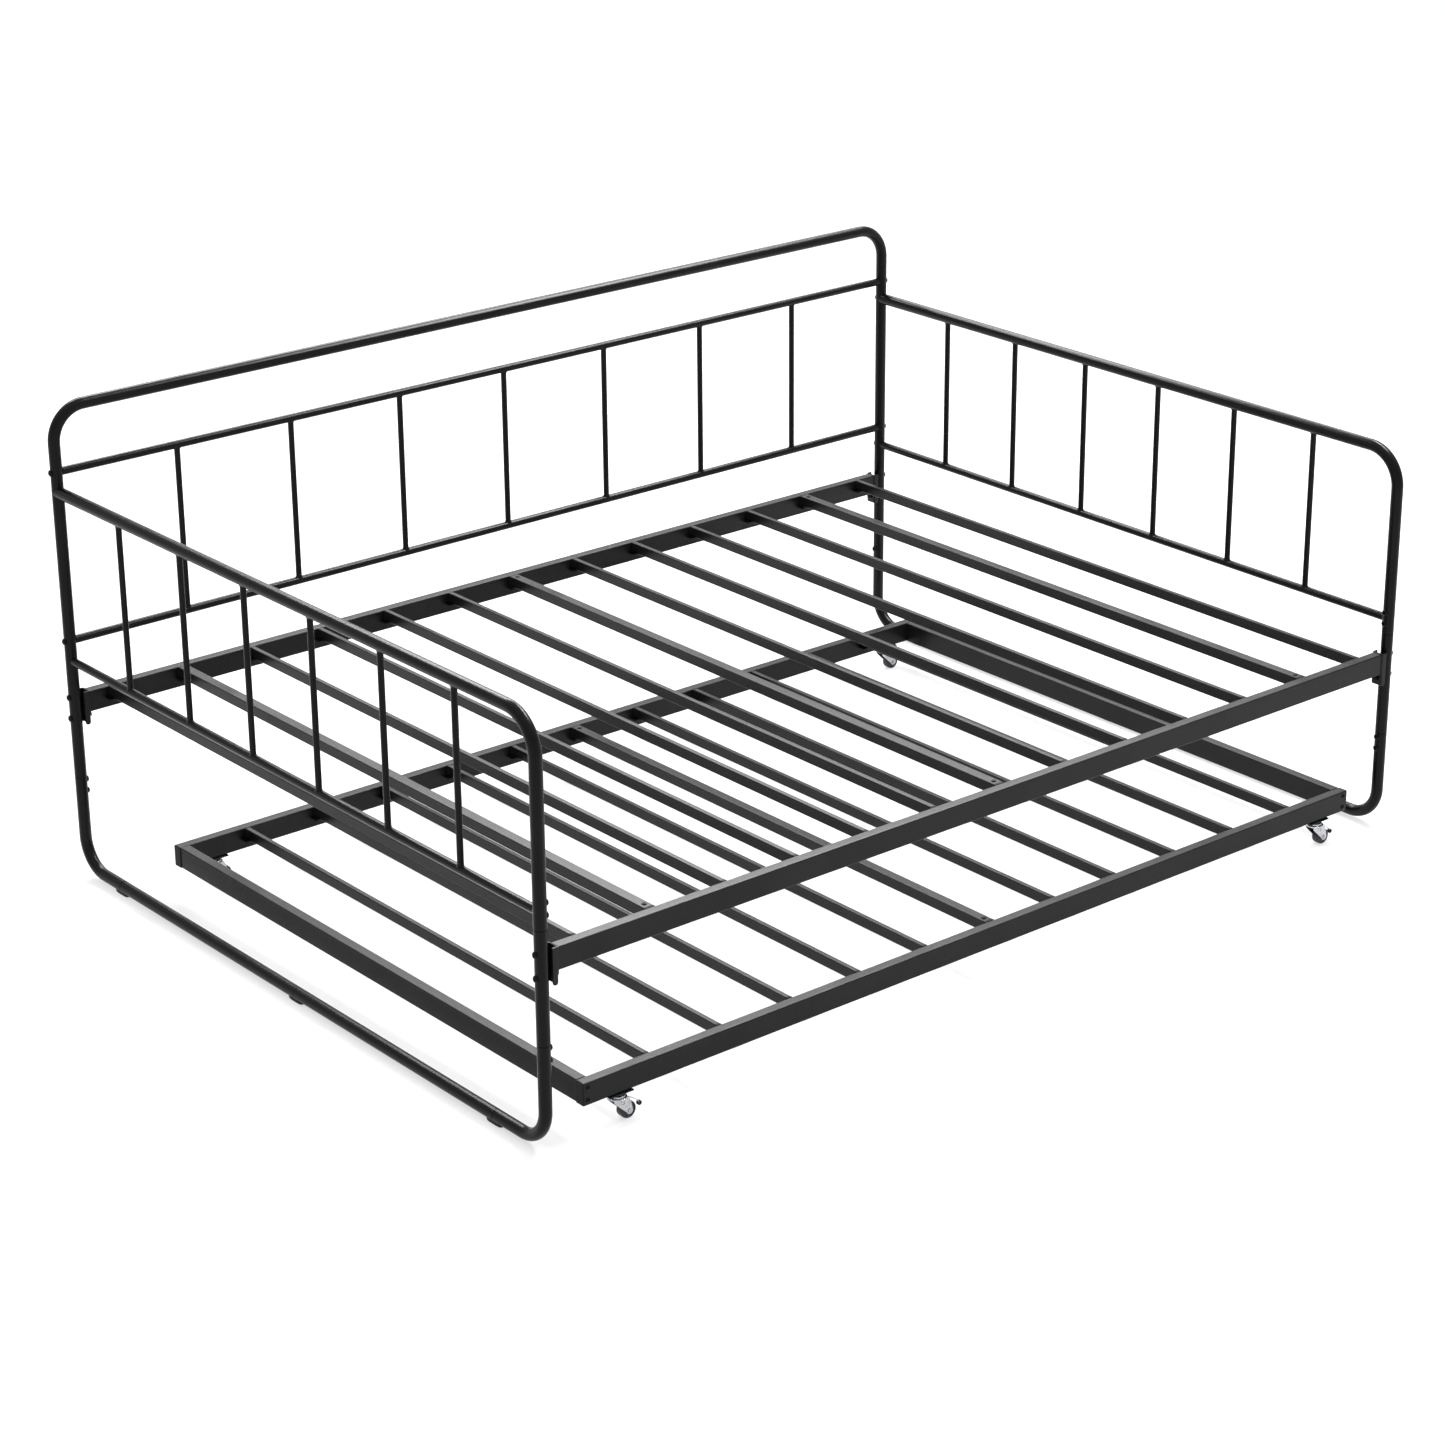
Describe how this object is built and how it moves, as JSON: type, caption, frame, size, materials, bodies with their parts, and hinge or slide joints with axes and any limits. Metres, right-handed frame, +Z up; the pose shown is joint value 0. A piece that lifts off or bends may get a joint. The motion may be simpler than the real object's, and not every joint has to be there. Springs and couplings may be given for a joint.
{
  "type": "trundle bed",
  "caption": "Metal trundle bed: tubular daybed with spindle back and arms, slatted deck, and a slatted pull-out unit on swivel casters.",
  "frame": {"origin": "on the floor, under the middle of the object's box", "axes": "+X along the bed towards its right arm, +Y towards its back, +Z up; the open front faces -Y"},
  "size_m": [1.969, 1.4144, 0.8923],
  "materials": {
    "back_frame": "satin black powder coat over steel tube",
    "back_panel": "satin black powder coat over steel tube",
    "left_arm": "satin black powder coat over steel tube",
    "right_arm": "satin black powder coat over steel tube",
    "front_left_post": "satin black powder coat over steel tube",
    "front_right_post": "satin black powder coat over steel tube",
    "base_bend_front_left": "satin black powder coat over steel tube",
    "base_bend_front_right": "satin black powder coat over steel tube",
    "base_bend_back_left": "satin black powder coat over steel tube",
    "base_bend_back_right": "satin black powder coat over steel tube",
    "floor_bar_front_left": "satin black powder coat over steel tube",
    "floor_bar_front_right": "satin black powder coat over steel tube",
    "floor_bar_back_left": "satin black powder coat over steel tube",
    "floor_bar_back_right": "satin black powder coat over steel tube",
    "deck_rail_front": "satin black powder coat over steel tube",
    "deck_rail_back": "satin black powder coat over steel tube",
    "deck_slat_01": "satin black powder coat over steel tube",
    "deck_slat_02": "satin black powder coat over steel tube",
    "deck_slat_03": "satin black powder coat over steel tube",
    "deck_slat_04": "satin black powder coat over steel tube",
    "deck_slat_05": "satin black powder coat over steel tube",
    "deck_slat_06": "satin black powder coat over steel tube",
    "deck_slat_07": "satin black powder coat over steel tube",
    "deck_slat_08": "satin black powder coat over steel tube",
    "deck_slat_09": "satin black powder coat over steel tube",
    "deck_slat_10": "satin black powder coat over steel tube",
    "deck_slat_11": "satin black powder coat over steel tube",
    "deck_slat_12": "satin black powder coat over steel tube",
    "deck_slat_13": "satin black powder coat over steel tube",
    "trundle_rail_front": "satin black powder coat over steel tube",
    "trundle_rail_back": "satin black powder coat over steel tube",
    "trundle_rail_left": "satin black powder coat over steel tube",
    "trundle_rail_right": "satin black powder coat over steel tube",
    "trundle_slat_01": "satin black powder coat over steel tube",
    "trundle_slat_02": "satin black powder coat over steel tube",
    "trundle_slat_03": "satin black powder coat over steel tube",
    "trundle_slat_04": "satin black powder coat over steel tube",
    "trundle_slat_05": "satin black powder coat over steel tube",
    "trundle_slat_06": "satin black powder coat over steel tube",
    "trundle_slat_07": "satin black powder coat over steel tube",
    "trundle_slat_08": "satin black powder coat over steel tube",
    "trundle_slat_09": "satin black powder coat over steel tube",
    "trundle_slat_10": "satin black powder coat over steel tube",
    "trundle_slat_11": "satin black powder coat over steel tube",
    "caster_mount_front_left": "satin black powder coat over steel tube",
    "caster_mount_front_right": "satin black powder coat over steel tube",
    "caster_mount_back_left": "satin black powder coat over steel tube",
    "caster_mount_back_right": "satin black powder coat over steel tube",
    "caster_fork_front_left": "bright chrome plating",
    "caster_wheel_front_left": "matte black moulded plastic",
    "brake_lever_front_left": "satin black",
    "caster_fork_front_right": "bright chrome plating",
    "caster_wheel_front_right": "matte black moulded plastic",
    "brake_lever_front_right": "satin black",
    "caster_fork_back_left": "bright chrome plating",
    "caster_wheel_back_left": "matte black moulded plastic",
    "caster_fork_back_right": "bright chrome plating",
    "caster_wheel_back_right": "matte black moulded plastic"
  },
  "bodies": {
    "bed": {"back_frame": "back_frame", "back_panel": "back_panel", "left_arm": "left_arm", "right_arm": "right_arm", "front_left_post": "front_left_post", "front_right_post": "front_right_post", "base_bend_front_left": "base_bend_front_left", "base_bend_front_right": "base_bend_front_right", "base_bend_back_left": "base_bend_back_left", "base_bend_back_right": "base_bend_back_right", "floor_bar_front_left": "floor_bar_front_left", "floor_bar_front_right": "floor_bar_front_right", "floor_bar_back_left": "floor_bar_back_left", "floor_bar_back_right": "floor_bar_back_right", "deck_rail_front": "deck_rail_front", "deck_rail_back": "deck_rail_back", "deck_slat_01": "deck_slat_01", "deck_slat_02": "deck_slat_02", "deck_slat_03": "deck_slat_03", "deck_slat_04": "deck_slat_04", "deck_slat_05": "deck_slat_05", "deck_slat_06": "deck_slat_06", "deck_slat_07": "deck_slat_07", "deck_slat_08": "deck_slat_08", "deck_slat_09": "deck_slat_09", "deck_slat_10": "deck_slat_10", "deck_slat_11": "deck_slat_11", "deck_slat_12": "deck_slat_12", "deck_slat_13": "deck_slat_13"},
    "trundle": {"trundle_rail_front": "trundle_rail_front", "trundle_rail_back": "trundle_rail_back", "trundle_rail_left": "trundle_rail_left", "trundle_rail_right": "trundle_rail_right", "trundle_slat_01": "trundle_slat_01", "trundle_slat_02": "trundle_slat_02", "trundle_slat_03": "trundle_slat_03", "trundle_slat_04": "trundle_slat_04", "trundle_slat_05": "trundle_slat_05", "trundle_slat_06": "trundle_slat_06", "trundle_slat_07": "trundle_slat_07", "trundle_slat_08": "trundle_slat_08", "trundle_slat_09": "trundle_slat_09", "trundle_slat_10": "trundle_slat_10", "trundle_slat_11": "trundle_slat_11", "caster_mount_front_left": "caster_mount_front_left", "caster_mount_front_right": "caster_mount_front_right", "caster_mount_back_left": "caster_mount_back_left", "caster_mount_back_right": "caster_mount_back_right"},
    "fork_front_left": {"caster_fork_front_left": "caster_fork_front_left"},
    "wheel_front_left": {"caster_wheel_front_left": "caster_wheel_front_left"},
    "lever_front_left": {"brake_lever_front_left": "brake_lever_front_left"},
    "fork_front_right": {"caster_fork_front_right": "caster_fork_front_right"},
    "wheel_front_right": {"caster_wheel_front_right": "caster_wheel_front_right"},
    "lever_front_right": {"brake_lever_front_right": "brake_lever_front_right"},
    "fork_back_left": {"caster_fork_back_left": "caster_fork_back_left"},
    "wheel_back_left": {"caster_wheel_back_left": "caster_wheel_back_left"},
    "fork_back_right": {"caster_fork_back_right": "caster_fork_back_right"},
    "wheel_back_right": {"caster_wheel_back_right": "caster_wheel_back_right"}
  },
  "joints": [
    {"name": "trundle_slide", "type": "slide", "parent": "bed", "child": "trundle", "axis": [0, -1, 0], "range_m": [-0.19, 1.25]},
    {"name": "swivel_front_left", "type": "hinge", "parent": "trundle", "child": "fork_front_left", "pos_m": [-0.8175, -0.67925, 0.04], "axis": [0, 0, 1], "continuous": true},
    {"name": "spin_front_left", "type": "hinge", "parent": "fork_front_left", "child": "wheel_front_left", "pos_m": [-0.8005, -0.67925, 0.0151], "axis": [0, 1, 0], "continuous": true},
    {"name": "brake_front_left", "type": "hinge", "parent": "fork_front_left", "child": "lever_front_left", "pos_m": [-0.805, -0.67925, 0.0362], "axis": [0, 1, 0], "range_deg": [0, 12]},
    {"name": "swivel_front_right", "type": "hinge", "parent": "trundle", "child": "fork_front_right", "pos_m": [0.8175, -0.67925, 0.04], "axis": [0, 0, 1], "continuous": true},
    {"name": "spin_front_right", "type": "hinge", "parent": "fork_front_right", "child": "wheel_front_right", "pos_m": [0.8345, -0.67925, 0.0151], "axis": [0, 1, 0], "continuous": true},
    {"name": "brake_front_right", "type": "hinge", "parent": "fork_front_right", "child": "lever_front_right", "pos_m": [0.83, -0.67925, 0.0362], "axis": [0, 1, 0], "range_deg": [0, 12]},
    {"name": "swivel_back_left", "type": "hinge", "parent": "trundle", "child": "fork_back_left", "pos_m": [-0.8175, 0.50375, 0.04], "axis": [0, 0, 1], "continuous": true},
    {"name": "spin_back_left", "type": "hinge", "parent": "fork_back_left", "child": "wheel_back_left", "pos_m": [-0.8005, 0.50375, 0.0151], "axis": [0, 1, 0], "continuous": true},
    {"name": "swivel_back_right", "type": "hinge", "parent": "trundle", "child": "fork_back_right", "pos_m": [0.8175, 0.50375, 0.04], "axis": [0, 0, 1], "continuous": true},
    {"name": "spin_back_right", "type": "hinge", "parent": "fork_back_right", "child": "wheel_back_right", "pos_m": [0.8345, 0.50375, 0.0151], "axis": [0, 1, 0], "continuous": true}
  ]
}
